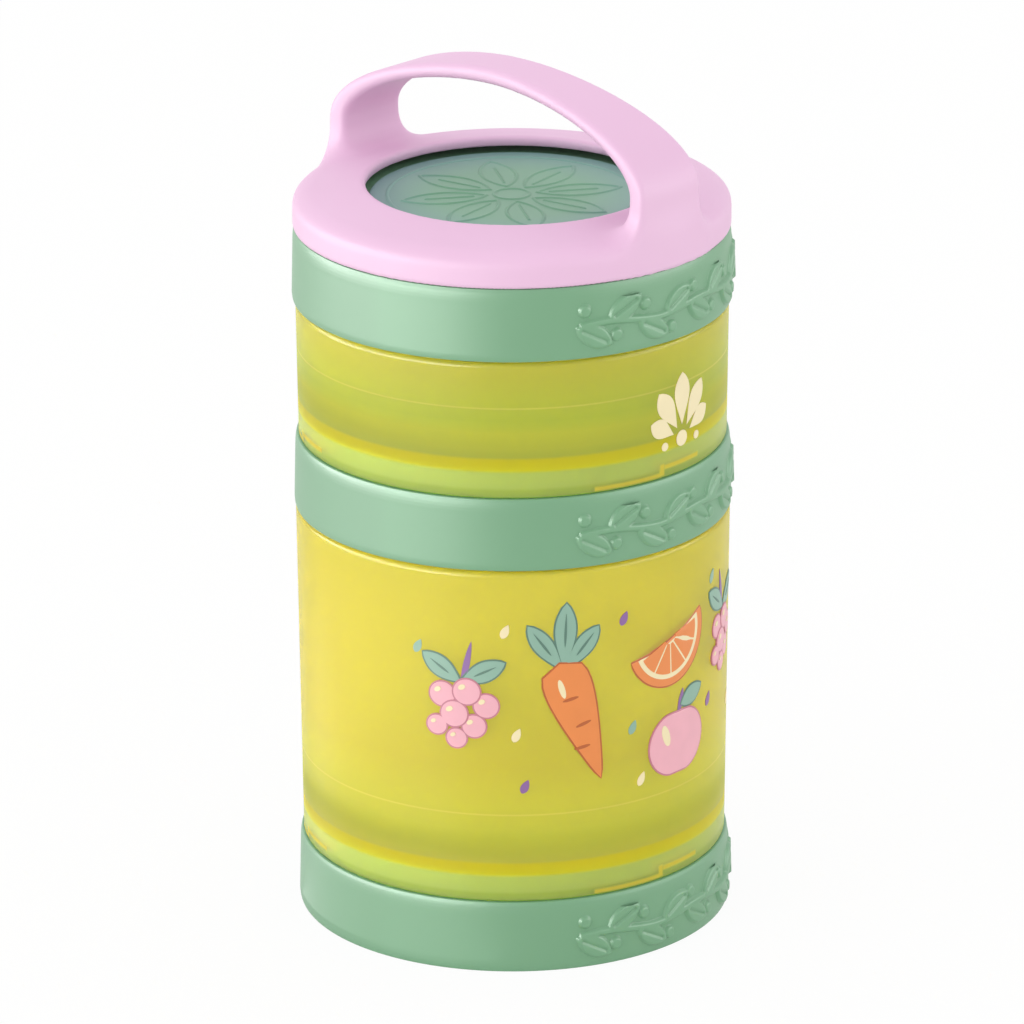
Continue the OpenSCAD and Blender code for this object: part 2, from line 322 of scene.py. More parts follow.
def zone(tree, value, low, high, soft):
    """1 where value lies between low and high, with soft edges."""
    rise = add(tree, "MapRange", {"Value": value, "From Min": low - soft, "From Max": low + soft})
    fall = add(tree, "MapRange", {"Value": value, "From Min": high - soft, "From Max": high + soft,
                                  "To Min": 1, "To Max": 0})
    return add(tree, "Math", {0: rise.outputs[0], 1: fall.outputs[0]},
               operation="MULTIPLY").outputs[0]


def cup_measures(tree, place, foot):
    """Height over the cup's lower edge and distance from its axis, in mm, and the turn in
    degrees past the start of a ledge."""
    axes = add(tree, "SeparateXYZ", {0: place})
    rise = add(tree, "Math", {0: axes.outputs[2], 1: foot}, operation="SUBTRACT")
    height = add(tree, "Math", {0: rise.outputs[0], 1: 1 / MM}, operation="MULTIPLY")
    radius = add(tree, "Math", {0: off_axis(tree, axes), 1: 1 / MM}, operation="MULTIPLY")
    angle = add(tree, "Math", {0: axes.outputs[1], 1: axes.outputs[0]}, operation="ARCTAN2")
    degrees = add(tree, "Math", {0: angle.outputs[0]}, operation="DEGREES")
    ahead = add(tree, "Math", {0: degrees.outputs[0], 1: lock_start}, operation="SUBTRACT")
    turn = add(tree, "Math", {0: ahead.outputs[0], 1: 360 / locks}, operation="FLOORED_MODULO")
    return {"height": height.outputs[0], "radius": radius.outputs[0], "turn": turn.outputs[0]}


def milky_plastic(name, foot, low_tone):
    """Translucent lemon plastic for a cup whose lower edge is at the height foot. low_tone is
    the tone of its wall over the floor."""
    made = bpy.data.materials.new(name)
    tree = empty_tree(made)
    place = add(tree, "TexCoord").outputs["Object"]
    measures = cup_measures(tree, place, foot)
    cloudy, colour = plain_cloud, linear("#F5F567")
    for share, tone, *bounds in cup_zones:
        where = 1
        for measure, low, high, soft in bounds:
            within = zone(tree, measures[measure], low, high, soft)
            where = add(tree, "Math", {0: where, 1: within}, operation="MULTIPLY").outputs[0]
        cloudy = add(tree, "Mix", {"Factor": where, "A": cloudy, "B": share}).outputs["Result"]
        colour = add(tree, "Mix", {"Factor": where, "A": colour, "B": linear(tone or low_tone)},
                     data_type="RGBA").outputs["Result"]

    skin = add(tree, "TexNoise", {"Vector": place, "Scale": 3000, "Detail": 2})     # 0.33 mm
    bump = add(tree, "Bump", {"Height": skin.outputs["Fac"], "Strength": 0.1,
                              "Distance": grain_depth})
    clear = add(tree, "BsdfPrincipled", {
        "Base Color": (1, 1, 1, 1), "Roughness": 0.27, "IOR": 1.49,
        "Transmission Weight": 1.0, "Normal": bump.outputs["Normal"]})
    through = add(tree, "BsdfTranslucent", {"Color": colour})
    back = add(tree, "BsdfDiffuse", {"Color": colour})
    milk = add(tree, "MixShader", {0: sent_back, 1: through.outputs[0], 2: back.outputs[0]})
    mixed = add(tree, "MixShader", {0: cloudy, 1: clear.outputs[0], 2: milk.outputs[0]})
    depth = add(tree, "VolumeAbsorption", {"Color": linear("#FCF333"), "Density": pigment})
    add(tree, "OutputMaterial", {"Surface": mixed.outputs[0], "Volume": depth.outputs[0]})
    return made


for node, low_tone in (("large_cup", "#F0FC62"), ("small_cup", "#D4F05A")):
    dress(node, milky_plastic("lemon_polypropylene_" + node, lowest[node], low_tone))
print("cups:", [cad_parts[n].data.materials[0].name for n in ("large_cup", "small_cup")])

# %% [markdown]
# ## Seal rings
# A soft silicone ring lies on each cup's rim. It is hidden while a cap is closed. Silicone is
# duller than the hard plastic, so it gets the same shader with a rougher skin.

# %% Seal silicone
silicone = satin_plastic("white_silicone_ring", "#F1F1EC", "#ECECE6", 0.55)
seals = ("base_seal", "middle_seal", "top_seal")
for node in seals:
    dress(node, silicone)
print("seals dressed:", len(seals))

# %% [markdown]
# ## The pink handle
# Ring and arch are one moulding: the legs stand flush with the ring's wall and run into its top
# in wide soft corners. Such a blend is hard to draw with faces, so the shape is described as a
# distance field, where each point of space knows how far it is from the surface. Two fields
# blend with one formula, and a mesh is then laid on the field's zero level. The field is worked
# out in millimetres, with z counted from the ring's lower edge.

# %% Outline tools
def arc(cx, cz, rx, rz, start, end, count=12):
    """Points of an ellipse's arc, angles in degrees."""
    a = np.radians(np.linspace(start, end, count))
    return np.c_[cx + rx * np.cos(a), cz + rz * np.sin(a)]


def distance_to_outline(points, outline):
    """Signed distance of points to a closed outline, negative inside."""
    best = np.full(len(points), 1e9)
    inside = np.zeros(len(points), bool)
    for p, q in zip(outline, np.roll(outline, -1, axis=0)):
        edge = q - p
        length = float(edge @ edge)
        if length < 1e-12:
            continue
        t = np.clip((points - p) @ edge / length, 0, 1)
        best = np.minimum(best, ((points - p - t[:, None] * edge) ** 2).sum(1))
        if p[1] != q[1]:
            crosses = (p[1] > points[:, 1]) != (q[1] > points[:, 1])
            x = p[0] + (points[:, 1] - p[1]) * edge[0] / edge[1]
            inside ^= crosses & (points[:, 0] < x)
    return np.where(inside, -1, 1) * np.sqrt(best)


def soft_min(a, b, reach):
    """The nearer of two surfaces, with a fillet of about reach where they meet."""
    h = np.clip(0.5 + 0.5 * (b - a) / reach, 0, 1)
    return b * (1 - h) + a * h - reach * h * (1 - h)


print("distance from (0, 0) to a 2 mm square beside it:",
      distance_to_outline(np.zeros((1, 2)), np.array([[1, -1], [3, -1], [3, 1], [1, 1]])))

# %% [markdown]
# The ring is a turned shape, so one outline of its section is enough: up the skirt's outside, over
# the rounded edge, in to the hole and back along the underside.

# %% Field of the ring
ring_z = lowest["handle"] / MM
ring_r = boxes["handle"][1][0] / MM
step = 0.45
xs = np.arange(-42, 42 + step, step)
zs = np.arange(-1.35, 31, step)
X, Y, Z = np.meshgrid(xs, xs, zs, indexing="ij")
R = np.hypot(X, Y)

skirt_r, hole_r, edge_h, top_h = 37.1, 26.4, 6.7, 8.0
thick, chamfer, hole_slope = 1.9, 0.6, 0.25
foot_round, hole_round, edge_width, edge_drop = 0.35, 0.7, 4.8, 3.3
shoulder = [[skirt_r - chamfer, edge_h - thick], [skirt_r, edge_h - thick - chamfer]]
ring_outline = np.vstack([
    [[skirt_r, 0]],
    arc(ring_r - foot_round, foot_round, foot_round, foot_round, -90, 0, 5),
    arc(ring_r - edge_width, edge_h - edge_drop, edge_width, edge_drop, 0, 84, 20),
    arc(hole_r + hole_round, top_h - hole_round, hole_round, hole_round, 85, 180, 8),
    [[hole_r + hole_slope, top_h - thick]], shoulder])


def around_axis(outline, spacing=0.15):
    """A turned shape's field: its section is worked out once for each radius and height."""
    radii = np.arange(0, R.max() + 2 * spacing, spacing)
    flat = np.stack(np.meshgrid(radii, zs, indexing="ij"), -1).reshape(-1, 2)
    table = distance_to_outline(flat, outline).reshape(len(radii), len(zs))
    at = np.clip(R[:, :, 0] / spacing, 0, len(radii) - 1.001)
    low, part = at.astype(int), (at - at.astype(int))[..., None]
    return table[low] * (1 - part) + table[low + 1] * part


ring_field = around_axis(ring_outline)
print("ring radius and seam, mm:", round(ring_r, 2), round(ring_z, 2))

# %% [markdown]
# The arch is a band between two curves, seen from the side, and as wide as width says. It is
# slimmest over the crown, widens evenly down to the legs, and once more near the ring.

# %% Field of the arch
def bend(x, z0, hold, crown, z1, count=40):
    """One side of the arch: a cubic curve from the leg's line at z0 to the middle at z1. It
    keeps the leg's direction for about hold, and the crown's for about crown."""
    t = np.linspace(0, 1, count)[:, None]
    corners = np.array([[x, z0], [x, z0 + hold], [crown, z1], [0, z1]])
    weights = np.hstack([(1 - t) ** 3, 3 * (1 - t) ** 2 * t, 3 * (1 - t) * t ** 2, t ** 3])
    return weights @ corners


leg_x, leg_t, leg_foot, arch_h, arch_t = ring_r - 0.6, 4, 2, 29.6, 3
outer = np.vstack([[[leg_x, leg_foot]], bend(leg_x, z0=13.3, hold=10.4, crown=14, z1=arch_h)])
inner = np.vstack([[[leg_x - leg_t, leg_foot]],
                   bend(leg_x - leg_t, z0=13.6, hold=5.72, crown=20.6, z1=arch_h - arch_t)])
half = np.vstack([outer, inner[::-1]])
mirrored = half * (-1, 1)
flat = np.stack([X[:, 0].ravel(), Z[:, 0].ravel()], 1)
band = np.minimum(distance_to_outline(flat, half), distance_to_outline(flat, mirrored))
crown_gap = np.abs(flat[:, 0]) < 1.0    # where the halves meet, only the two heights count
band[crown_gap] = np.maximum(flat[crown_gap, 1] - arch_h, arch_h - arch_t - flat[crown_gap, 1])
band = band.reshape(X[:, 0].shape)[:, None, :]

half_width, flare, crown_round = 4.77, 0.0745, 5
foot_flare, foot_h = 0.9, 20
width = (half_width + flare * np.hypot(X[:, :1], crown_round)
         + foot_flare * np.clip(1 - Z[:, :1] / foot_h, 0, 1) ** 2)
rounding = 1.25
across = np.abs(Y) - width + rounding
along = band + rounding
arch_field = (np.hypot(np.maximum(across, 0), np.maximum(along, 0))
              + np.minimum(np.maximum(across, along), 0) - rounding)
print("arch height over the seam, mm:", round(outer[:, 1].max(), 2))

# %% [markdown]
# The two fields are blended with a 6 mm fillet. The blend would swell out past the ring's wall,
# so the result is trimmed by a cylinder of the ring's radius. The room for the top cap's plateau
# is taken out again from below.

# %% Blend
fillet, wall_round = 6.0, 0.8
handle_field = soft_min(ring_field, arch_field, fillet)
handle_field = -soft_min(-handle_field, ring_r - R, wall_round)
room = np.array([[-1, -9], [skirt_r, -9], *shoulder[::-1], [hole_r, top_h - thick],
                 [-1, top_h - thick]])
handle_field = np.maximum(handle_field, -around_axis(room))
handle_field = np.maximum(handle_field, -Z)
print("points inside the handle:", int((handle_field < 0).sum()))

# %% [markdown]
# The mesh comes from a surface net: each grid cell that the surface passes through gets one
# point, at the mean of the crossings on its edges, and each grid edge that crosses the surface
# gets one four-sided face between its four cells. The points are then pulled onto the exact
# zero level along the field's slope, which takes the stair steps out.

# %% Mesh on a field
def surface_net(field, low, step):
    """Points and four-sided faces on the zero level of a field sampled on a grid."""
    inside = field < 0
    total = np.zeros([n - 1 for n in field.shape] + [3])
    count = np.zeros([n - 1 for n in field.shape])
    edges = []
    for axis in range(3):
        near = [slice(None)] * 3
        far = [slice(None)] * 3
        near[axis], far[axis] = slice(0, -1), slice(1, None)
        crossing = inside[tuple(near)] != inside[tuple(far)]
        at = np.argwhere(crossing)
        a, b = field[tuple(near)][crossing], field[tuple(far)][crossing]
        point = at.astype(float)
        point[:, axis] += a / (a - b)
        others = [k for k in range(3) if k != axis]
        for du in (0, 1):
            for dv in (0, 1):
                cell = at.copy()
                cell[:, others[0]] -= du
                cell[:, others[1]] -= dv
                ok = ((cell >= 0) & (cell < np.array(count.shape))).all(1)
                np.add.at(total, tuple(cell[ok].T), point[ok])
                np.add.at(count, tuple(cell[ok].T), 1)
        edges.append((axis, others, at, a < 0))
    used = count > 0
    index = np.full(count.shape, -1)
    index[used] = np.arange(used.sum())
    points = total[used] / count[used][:, None]
    faces = []
    for axis, (u, v), at, leaves in edges:
        ok = (at[:, u] > 0) & (at[:, v] > 0)
        at, leaves = at[ok], leaves[ok]
        corner = []
        for du, dv in ((0, 0), (1, 0), (1, 1), (0, 1)):
            cell = at.copy()
            cell[:, u] -= du
            cell[:, v] -= dv
            corner.append(index[tuple(cell.T)])
        quad = np.stack(corner, 1)
        turn = leaves if axis != 1 else ~leaves
        quad[~turn] = quad[~turn][:, ::-1]
        faces.append(quad)
    return points * step + low, np.vstack(faces)


def sample(grid, points, low, step):
    """A grid's values between its points, by straight mixing along the three axes."""
    at = np.clip((points - low) / step, 0, np.array(grid.shape[:3]) - 1.001)
    i = at.astype(int)
    f = at - i
    out = 0
    for dx in (0, 1):
        for dy in (0, 1):
            for dz in (0, 1):
                share = (np.abs(1 - dx - f[:, 0]) * np.abs(1 - dy - f[:, 1])
                         * np.abs(1 - dz - f[:, 2]))
                out = out + share * grid[i[:, 0] + dx, i[:, 1] + dy, i[:, 2] + dz]
    return out


low = np.array([xs[0], xs[0], zs[0]])
points, quads = surface_net(handle_field, low, step)
slopes = np.gradient(handle_field, step)
passes, least_slope = 3, 0.3    # a flat spot of the field would throw a point too far
for _ in range(passes):
    value = sample(handle_field, points, low, step)
    slope = np.stack([sample(s, points, low, step) for s in slopes], 1)
    points -= (value / np.maximum((slope ** 2).sum(1), least_slope))[:, None] * slope
points[:, 2] = np.maximum(points[:, 2], 0)
print("handle mesh:", len(points), "points,", len(quads), "faces")

# %% [markdown]
# The mesh takes the place of the CAD model's plain handle. It is the same satin polypropylene as
# the caps, in a pale orchid pink, with a slightly duller skin.

# %% Handle piece
handle = mesh_object("handle_moulding", (points + (0, 0, ring_z)) * MM, quads, smooth=True)
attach(handle, "handle")
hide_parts("handle")
orchid = satin_plastic("orchid_polypropylene_satin", "#EBC2E0", "#E7BDDB", 0.58, 0.42)
handle.data.materials.append(orchid)
print("handle dressed:", handle.data.materials[0].name)

# %% [markdown]
# ## Raised patterns
# Each cap's band carries a raised pattern, moulded in one with the wall, and the top disc a fine
# line drawing. Here they are a leafy sprig and a rosette. Both start as a flat distance field in
# millimetres: how far each point of a fine grid is from the nearest leaf, stem or line. The
# distance sets the height through a soft step, which rounds the edges as a mould does. Only the
# part of the grid that rises is kept, and it starts a little under the skin, so it grows out of
# the wall without a gap.

# %% Raised patterns on a grid
facing = azimuth - math.pi / 2
grid_step, under_skin = 0.2, 0.06


def leaf_field(u, v, at, length, width, tilt):
    """Distance to a pointed leaf with its middle at a place, and its own long and cross axes."""
    c, s = math.cos(math.radians(tilt)), math.sin(math.radians(tilt))
    x, y = (u - at[0]) * c + (v - at[1]) * s, (v - at[1]) * c - (u - at[0]) * s
    bow = (length ** 2 + width ** 2) / (4 * width)
    side = bow - width / 2
    return np.maximum(np.hypot(x, y + side), np.hypot(x, y - side)) - bow, x, y


def soft_step(distance, edge):
    """1 inside, 0 outside, with a rounded edge."""
    t = np.clip(0.5 - distance / edge, 0, 1)
    return t * t * (3 - 2 * t)


def raised(name, u, v, rise, height, place, body, material):
    """The part of a grid that rises, as a mesh; place turns u, v and height to a point in mm."""
    points = place(u, v, rise * height - under_skin)
    index = np.arange(u.size).reshape(u.shape)
    up = rise > 0
    kept = up[:-1, :-1] | up[1:, :-1] | up[:-1, 1:] | up[1:, 1:]
    quads = np.stack([index[:-1, :-1][kept], index[1:, :-1][kept], index[1:, 1:][kept],
                      index[:-1, 1:][kept]], 1)
    used, quads = np.unique(quads, return_inverse=True)
    piece = mesh_object(name, points.reshape(-1, 3)[used] * MM, quads.reshape(-1, 4), smooth=True)
    piece.data.materials.append(material)
    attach(piece, body)
    print(name, "faces:", len(piece.data.polygons))


print("polar angle that faces the camera, degrees:", round(math.degrees(facing), 2))

# %% [markdown]
# The sprig is a gently waving stem with a leaf on one side and a berry on the other, turn about.
# u runs along the band in millimetres from the side that faces the camera, and v up from the
# cap's lower edge. A cap's side leans in a little above its lip, so the pattern leans with it.

# %% Sprig on the caps
cap_lean, lip_h, side_h = 0.25, 1.2, 10.4
stem_start, stem_end, stem_half, stem_v = 12, 74.5, 0.6, 6.0
swing, wave_length = 0.5, 22
leaves, leaf_pitch, leaf_length, leaf_width, leaf_tilt = 10, 6.1, 7.6, 4.0, 28
rib_half, rib_reach, rib_depth = 0.3, 2.7, 0.55
berry_r, edge_soft, sprig_h = 1.1, 0.6, 0.65


def on_band(foot):
    """Places a point on a cap's wall: u along the band from the camera's side, v over its foot."""
    def place(u, v, out):
        lean = cap_lean * np.clip((v - lip_h) / (side_h - lip_h), 0, 1)
        reach, turn = cap_radius / MM - lean + out, facing + u / (cap_radius / MM)
        return np.stack([reach * np.cos(turn), reach * np.sin(turn), v + foot], -1)
    return place


u, v = np.meshgrid(np.arange(9, 77, grid_step), np.arange(1.4, 10.7, grid_step), indexing="ij")
wave_rate = 2 * math.pi / wave_length
slope = swing * wave_rate * np.cos(wave_rate * (u - stem_start))
stem = np.abs(v - stem_v - swing * np.sin(wave_rate * (u - stem_start)))
sprig = np.where((u > stem_start) & (u < stem_end), stem / np.sqrt(1 + slope ** 2) - stem_half, 9)
rib = np.zeros_like(u)
for k in range(leaves):
    root, side = stem_start + 0.5 + leaf_pitch * k, 1 if k % 2 else -1
    root_v = stem_v + swing * math.sin(wave_rate * (root - stem_start))
    leaf, x, y = leaf_field(u, v, (root + 2.4, root_v + side * 2.05), leaf_length, leaf_width,
                            side * leaf_tilt)
    rib = np.maximum(rib, (leaf < 0) * np.exp(-(y / rib_half) ** 2) * (np.abs(x) < rib_reach))
    berry = np.hypot(u - root - 0.6, v - root_v + side * 2.7) - berry_r
    sprig = np.minimum(np.minimum(sprig, leaf), berry)
rise = soft_step(sprig, edge_soft) * (1 - rib_depth * rib)
for node, body in (("base_cap", "base"), ("middle_cap", "middle_cap"), ("top_cap", "top_cap")):
    raised("sprig_" + node, u, v, rise, sprig_h, on_band(lowest[node] / MM), body, sage)

# %% [markdown]
# Inside the handle's ring the top cap rises once more, by under a millimetre. A dark gap is left
# between this disc and the ring. Its face is smoother than the band. Its outer part is painted a
# cooler, darker tone: painted shade from the gap and a painted reflection of the pink above it.

# %% Disc of the top cap
disc_z, disc_r = highest["top_cap"] / MM + 0.75, hole_r - 0.55
disc_round, disc_side = 0.3, 0.9
profile = np.vstack([[[disc_r - disc_round - 0.2, disc_z]],
                     arc(disc_r - disc_round, disc_z - disc_round, disc_round, disc_round, 90, 0, 6),
                     [[disc_r, disc_z - disc_side]]])
turns = np.radians(np.arange(0, 360, 2.5))
vertices = [(0, 0, disc_z)] + [(r * math.cos(a), r * math.sin(a), z)
                               for r, z in profile for a in turns]
count = len(turns)
faces = [(0, 1 + i, 1 + (i + 1) % count) for i in range(count)]
for ring in range(len(profile) - 1):
    start = 1 + ring * count
    faces += [(start + i, start + count + i, start + count + (i + 1) % count,
               start + (i + 1) % count) for i in range(count)]
disc = mesh_object("disc_top_cap", np.array(vertices) * MM, faces, smooth=True)
# The rim colour is painted shade and a painted reflection of the pink: darker and bluer towards the
# edge.
smooth_sage_painted_rim = satin_plastic("sage_polypropylene_smooth_painted_rim", "#79AA8C", "#75A688", 0.36,
                            rim=("#789F9C", 14 * MM, 25.5 * MM))
disc.data.materials.append(smooth_sage_painted_rim)
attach(disc, "top_cap")
print("disc radius, mm:", round(disc_r, 2), "faces:", len(faces))

# %% [markdown]
# The rosette is drawn in thin raised lines only: two circles, and eight petals between them, each
# an outline with a vein.

# %% Rosette on the disc
petals, first_turn, petal_at, petal_length, petal_width = 8, 10, 12.4, 15.5, 6.4
ring_lines, line_half, rosette_h = (22.5, 3.2), 0.3, 0.28

u, v = np.meshgrid(np.arange(-24, 24.1, grid_step), np.arange(-24, 24.1, grid_step), indexing="ij")
lines = np.minimum(*[np.abs(np.hypot(u, v) - r) - line_half for r in ring_lines])
for k in range(petals):
    turn = 360 / petals * k + first_turn
    middle = (petal_at * math.cos(math.radians(turn)), petal_at * math.sin(math.radians(turn)))
    petal, x, y = leaf_field(u, v, middle, petal_length, petal_width, turn)
    vein = np.maximum(np.abs(y) - 0.2, np.abs(x + 1) - 4.6)
    lines = np.minimum(lines, np.minimum(np.abs(petal) - 0.27, vein))
rise = soft_step(lines, 0.35)
raised("rosette", u, v, rise, rosette_h,
       lambda u, v, out: np.stack([u, v, disc_z + out], -1), "top_cap", smooth_sage_painted_rim)

# %% [markdown]
# ## Printed cups
# The cups are decorated by screen printing: flat spots of opaque satin ink, each colour printed
# over the last one. The large cup shows a set of snacks, with carrots, berries, slices of orange,
# apples and small drops. Each spot is an outline in millimetres on the unrolled wall, with the
# height counted from the table. Three functions draw most of them: an oval, a bowed leaf or
# root, and an outline grown by a margin for the darker edge under a colour.

# %% Shapes to print
def oval(at, a, b, tilt=0, start=0, end=360, count=40):
    """Points of an oval, or of a part of one."""
    t = np.radians(np.linspace(start, end, count, endpoint=end - start < 360))
    c, s = math.cos(math.radians(tilt)), math.sin(math.radians(tilt))
    x, y = a * np.cos(t), b * np.sin(t)
    return np.c_[at[0] + x * c - y * s, at[1] + x * s + y * c]


def bowed(root, tip, width, fullest=0.45, count=16):
    """A leaf or a root from one point to another, fullest at a share of its length."""
    root, tip = np.array(root, float), np.array(tip, float)
    t = np.linspace(0, 1, count)
    power = math.log(0.5) / math.log(fullest)
    half = width / 2 * np.sin(math.pi * t ** power) ** 0.8
    along = root + t[:, None] * (tip - root)
    cross = np.array([-(tip - root)[1], (tip - root)[0]]) / np.linalg.norm(tip - root)
    return np.vstack([along - half[:, None] * cross, (along + half[:, None] * cross)[-2:0:-1]])


def grown(outline, margin):
    """The outline moved out by a margin, for the dark edge under a colour."""
    after, before = np.roll(outline, -1, axis=0), np.roll(outline, 1, axis=0)
    along = after - before
    length = np.maximum(np.linalg.norm(along, axis=1), 1e-6)
    out = np.c_[along[:, 1], -along[:, 0]] / length[:, None]
    turn = np.sign((outline[:, 0] * after[:, 1] - after[:, 0] * outline[:, 1]).sum())
    return outline + out * margin * turn


print("points of an oval 4 mm long:", len(oval((0, 0), 2, 1)))

# %% [markdown]
# An outline is filled with triangles, wrapped round the cup and given the thickness of its layer,
# so each spot is a closed film. Real ink is about 0.02 mm thick. It is drawn at 0.05 mm a layer,
# so that an upper colour clears the one under it. The ink is satin and covers fully, and its tone
# drifts a little over some 4 mm where the film is thinner.

# %% Ink on a wall
ink_start, ink_layer, foot_step = 0.01, 0.05, 0.9


def screen_ink(name, colour):
    """Opaque satin ink: one even colour with a slight drift where the film is thinner."""
    made = bpy.data.materials.new(name)
    tree = empty_tree(made)
    place = add(tree, "TexCoord").outputs["Object"]
    drift = add(tree, "TexNoise", {"Vector": place, "Scale": 250, "Detail": 3})
    level = add(tree, "MapRange", {"Value": drift.outputs["Fac"], "To Min": 0.93, "To Max": 1.05})
    tone = add(tree, "HueSaturation", {"Color": linear(colour), "Value": level.outputs[0]})
    shader = add(tree, "BsdfPrincipled", {"Base Color": tone.outputs[0], "Roughness": 0.42,
                                          "IOR": 1.5})
    add(tree, "OutputMaterial", {"Surface": shader.outputs[0]})
    return made


def on_cup(node, shoulder):
    """Places a point on a cup's wall, which leans out from its foot to its shoulder."""
    foot, top = cap_radius / MM - foot_step, boxes[node][1][0] / MM
    low_z = lowest[node] / MM

    def place(u, z, out):
        share = (z - low_z) / (shoulder / MM - low_z)
        reach, turn = foot + (top - foot) * share + out, facing + u / foot
        return np.stack([reach * np.cos(turn), reach * np.sin(turn), z], -1)
    return place


def film(outline, grid=1.2):
    """Triangles that fill an outline, with points inside so that it can bend."""
    low, high = outline.min(0), outline.max(0)
    inner = np.stack(np.meshgrid(np.arange(low[0], high[0], grid), np.arange(low[1], high[1], grid),
                                 indexing="ij"), -1).reshape(-1, 2)
    inner = inner[distance_to_outline(inner, outline) < -0.35 * grid]
    count = len(outline)
    points, _, faces, *_ = delaunay_2d_cdt(
        [Vector(p) for p in np.vstack([outline, inner])],
        [(i, (i + 1) % count) for i in range(count)], [], 1, 1e-4, False)
    return np.array([tuple(p) for p in points]), faces


def printed(name, spots, place, body, material):
    """One object for all spots of one ink. A spot is an outline and the number of its layer."""
    vertices, faces = [], []
    for outline, layer in spots:
        flat, triangles = film(outline)
        start, count = len(vertices), len(flat)
        bottom = place(flat[:, 0], flat[:, 1], np.full(count, ink_start))
        top = place(flat[:, 0], flat[:, 1], np.full(count, ink_layer * layer))
        vertices += list(bottom) + list(top)
        border = set()
        for a, b, c in triangles:
            faces += [(start + count + a, start + count + b, start + count + c),
                      (start + c, start + b, start + a)]
            border |= {(a, b), (b, c), (c, a)}
        faces += [(start + a, start + b, start + count + b, start + count + a)
                  for a, b in border if (b, a) not in border]
    piece = mesh_object(name, np.array(vertices) * MM, faces)
    piece.data.materials.append(material)
    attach(piece, body)
    print(name, "spots:", len(spots), "faces:", len(faces))


inks = {"coral_orange": "#EA8A45", "burnt_orange": "#B9602B", "cream": "#F3E4B8",
        "rose_pink": "#EFAFBC", "deep_rose": "#C77C8D", "leaf_green": "#8DB3A0",
        "bottle_green": "#5B7F70", "plum": "#8C63A0"}
inks = {name: screen_ink("screen_ink_" + name, colour) for name, colour in inks.items()}
spots = {name: [] for name in inks}
print("inks:", len(inks))

# %% [markdown]
# Each snack is a function, so it can be printed again further round the cup. A leaf is a bowed
# shape with a thin vein of the darker green on it.

# %% Carrots
def draw(outline, ink, layer, edge=None, margin=0.32):
    """Adds a spot, with a dark edge one layer under it if one is named."""
    if edge:
        spots[edge].append((grown(outline, margin), layer - 1))
    spots[ink].append((outline, layer))


def carrot(at):
    """A carrot with three leaves, with its neck at a place."""
    neck = np.array(at)
    for end, width in (((-6.5, 9.0), 3.4), ((0.5, 13.0), 3.8), ((6.5, 8.0), 3.4)):
        draw(bowed(neck, neck + end, width, 0.6), "leaf_green", 2, "bottle_green")
        draw(bowed(neck + np.array(end) * 0.35, neck + np.array(end) * 0.85, 0.45, 0.4),
             "bottle_green", 3)
    draw(bowed(neck + (-0.8, 1.5), neck + (7, -21.5), 8.6, 0.2), "coral_orange", 4, "burnt_orange")
    for mark, tilt in (((1.2, -5.5), 14), ((3.6, -10.5), 20), ((3.4, -15.0), 12)):
        draw(oval(neck + mark, 1.5, 0.3, tilt), "burnt_orange", 5)
    draw(oval(neck + (-0.4, -3.4), 0.55, 1.9, 16), "cream", 5)


carrot((9, 58))
carrot((71, 54))
print("spots so far:", sum(len(own) for own in spots.values()))

# %% Berries
def berries(at, sizes, lean):
    """A bunch of round berries under two leaves."""
    x, y = at
    draw(bowed((x, y + 3), (x + 2 * lean, y + 13), 1.2, 0.5), "plum", 2)
    for dx, dy in ((-7, 5), (8, 4)):
        draw(bowed((x, y + 5), (x + dx, y + 5 + dy), 3.6, 0.55), "leaf_green", 3, "bottle_green")
        draw(bowed((x + dx * 0.3, y + 5 + dy * 0.3), (x + dx * 0.8, y + 5 + dy * 0.8), 0.4, 0.4),
             "bottle_green", 4)
    for k, (dx, dy, r) in enumerate(sizes):
        place = (x + dx, y + dy)
        draw(oval(place, r, r, count=28), "rose_pink", 4 + k % 2 * 2, "deep_rose", 0.3)
        draw(oval((place[0] - 0.35 * r, place[1] + 0.38 * r), 0.28 * r, 0.2 * r, 30), "cream",
             7 + k % 2)


bunch = [(-3.4, 2.4, 2.3), (1.1, 3.2, 2.4), (4.6, 0.6, 2.2), (-1.2, -1.2, 2.4), (2.4, -3.4, 2.1),
         (-4.4, -3.6, 1.8), (-0.8, -5.9, 1.8)]
berries((-9.5, 51), bunch, 1)
berries((50.5, 55), [(x * 0.9, y * 0.9, r * 0.9) for x, y, r in bunch], -1)
print("spots so far:", sum(len(own) for own in spots.values()))

# %% Slices of orange
def orange_slice(middle, tilt):
    """Half a slice: peel, white skin and five wedges."""
    draw(oval(middle, 9.4, 9.4, tilt, 0, 180), "coral_orange", 2, "burnt_orange")
    draw(oval(middle, 8.0, 8.0, tilt, 2, 178), "cream", 3)
    for k in range(5):
        start = tilt + 6 + 34 * k
        wedge = np.vstack([oval(middle, 7.1, 7.1, 0, start, start + 31, 9),
                           oval(middle, 1.4, 1.4, 0, start + 26, start + 5, 3)])
        draw(wedge, "coral_orange", 4)


orange_slice((31.0, 60.5), 200)
orange_slice((94.0, 46.0), 170)
print("spots so far:", sum(len(own) for own in spots.values()))

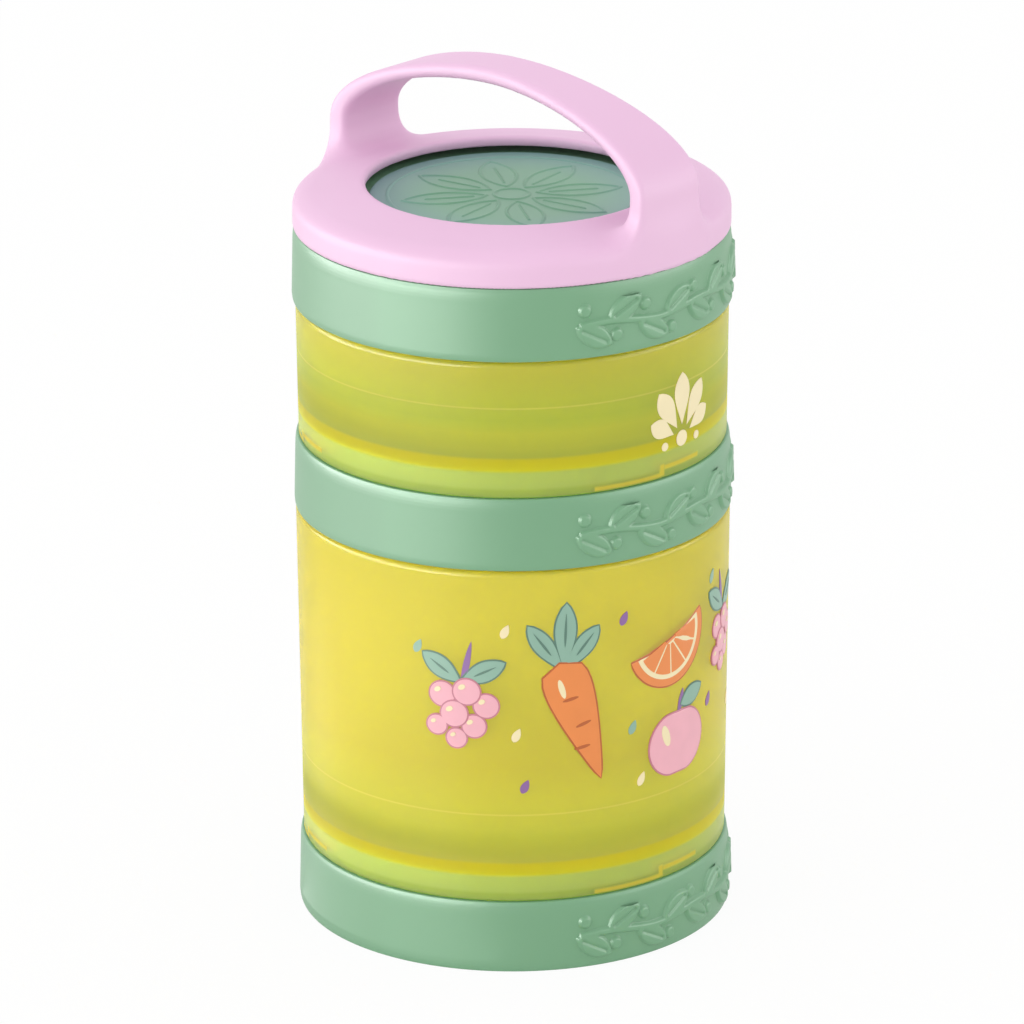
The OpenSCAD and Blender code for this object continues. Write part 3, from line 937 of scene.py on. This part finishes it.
# %% Apples
def apple(x, y):
    """An apple with a stalk and a leaf. Two dents, above and below, make a circle an apple."""
    t = np.radians(np.linspace(0, 360, 48, endpoint=False))
    reach = 6.9 * (1 + 0.1 * np.cos(2 * t) - 0.14 * np.exp(-((t - math.pi / 2) / 0.35) ** 2)
                   - 0.08 * np.exp(-((t - 1.5 * math.pi) / 0.3) ** 2))
    draw(bowed((x, y + 5), (x + 1.3, y + 10), 1.2, 0.5), "plum", 2)
    draw(bowed((x + 0.7, y + 6.9), (x + 7, y + 9.1), 3.4, 0.5), "leaf_green", 3, "bottle_green")
    draw(np.c_[x + reach * np.cos(t) * 0.95, y + reach * np.sin(t)], "rose_pink", 4, "deep_rose")
    draw(oval((x - 3.3, y + 1.9), 0.9, 2.2, 18), "cream", 5)


apple(33.5, 39.5)
apple(91.0, 60.5)
print("spots so far:", sum(len(own) for own in spots.values()))

# %% Small drops between them, and all inks on the large cup
for k, at in enumerate(((0.5, 46.0), (20.5, 66.5), (22.5, 45.0), (24.5, 34.5), (43.5, 44.5),
                        (44.5, 68.0), (-1.5, 66.0), (2.0, 36.0), (-17.5, 62.0), (56.5, 40.0),
                        (64.0, 62.5), (82.5, 49.0), (68.0, 33.0), (103.0, 56.0), (101.0, 36.5))):
    ink = ("cream", "plum", "leaf_green")[k % 3]
    draw(bowed((at[0] - 0.6, at[1] - 1.3), (at[0] + 0.6, at[1] + 1.3), 1.5, 0.4), ink, 2)
for name, own in spots.items():
    printed("print_large_" + name, own, on_cup("large_cup", lowest["middle_cap"]), "large_cup",
            inks[name])

# %% [markdown]
# The small cup has one motif in cream: a sprout with five leaves, which fan out from a seed
# between two smaller ones.

# %% Sprout on the small cup
spots = {name: [] for name in inks}
root = np.array((34.5, 97.5))
for angle, length, width in ((28, 9.0, 3.6), (58, 11.5, 4.0), (90, 12.5, 4.2), (122, 11.5, 4.0),
                             (152, 9.0, 3.6)):
    ray = np.array((math.cos(math.radians(angle)), math.sin(math.radians(angle))))
    draw(bowed(root + ray * 2.6, root + ray * length, width, 0.62), "cream", 2)
draw(oval(root, 1.5, 1.5, count=24), "cream", 2)
for dx in (-4.5, 4.5):
    draw(oval(root + (dx, -0.6), 0.8, 0.8, count=20), "cream", 2)
printed("print_small_cream", spots["cream"], on_cup("small_cup", lowest["top_cap"]), "small_cup",
        inks["cream"])
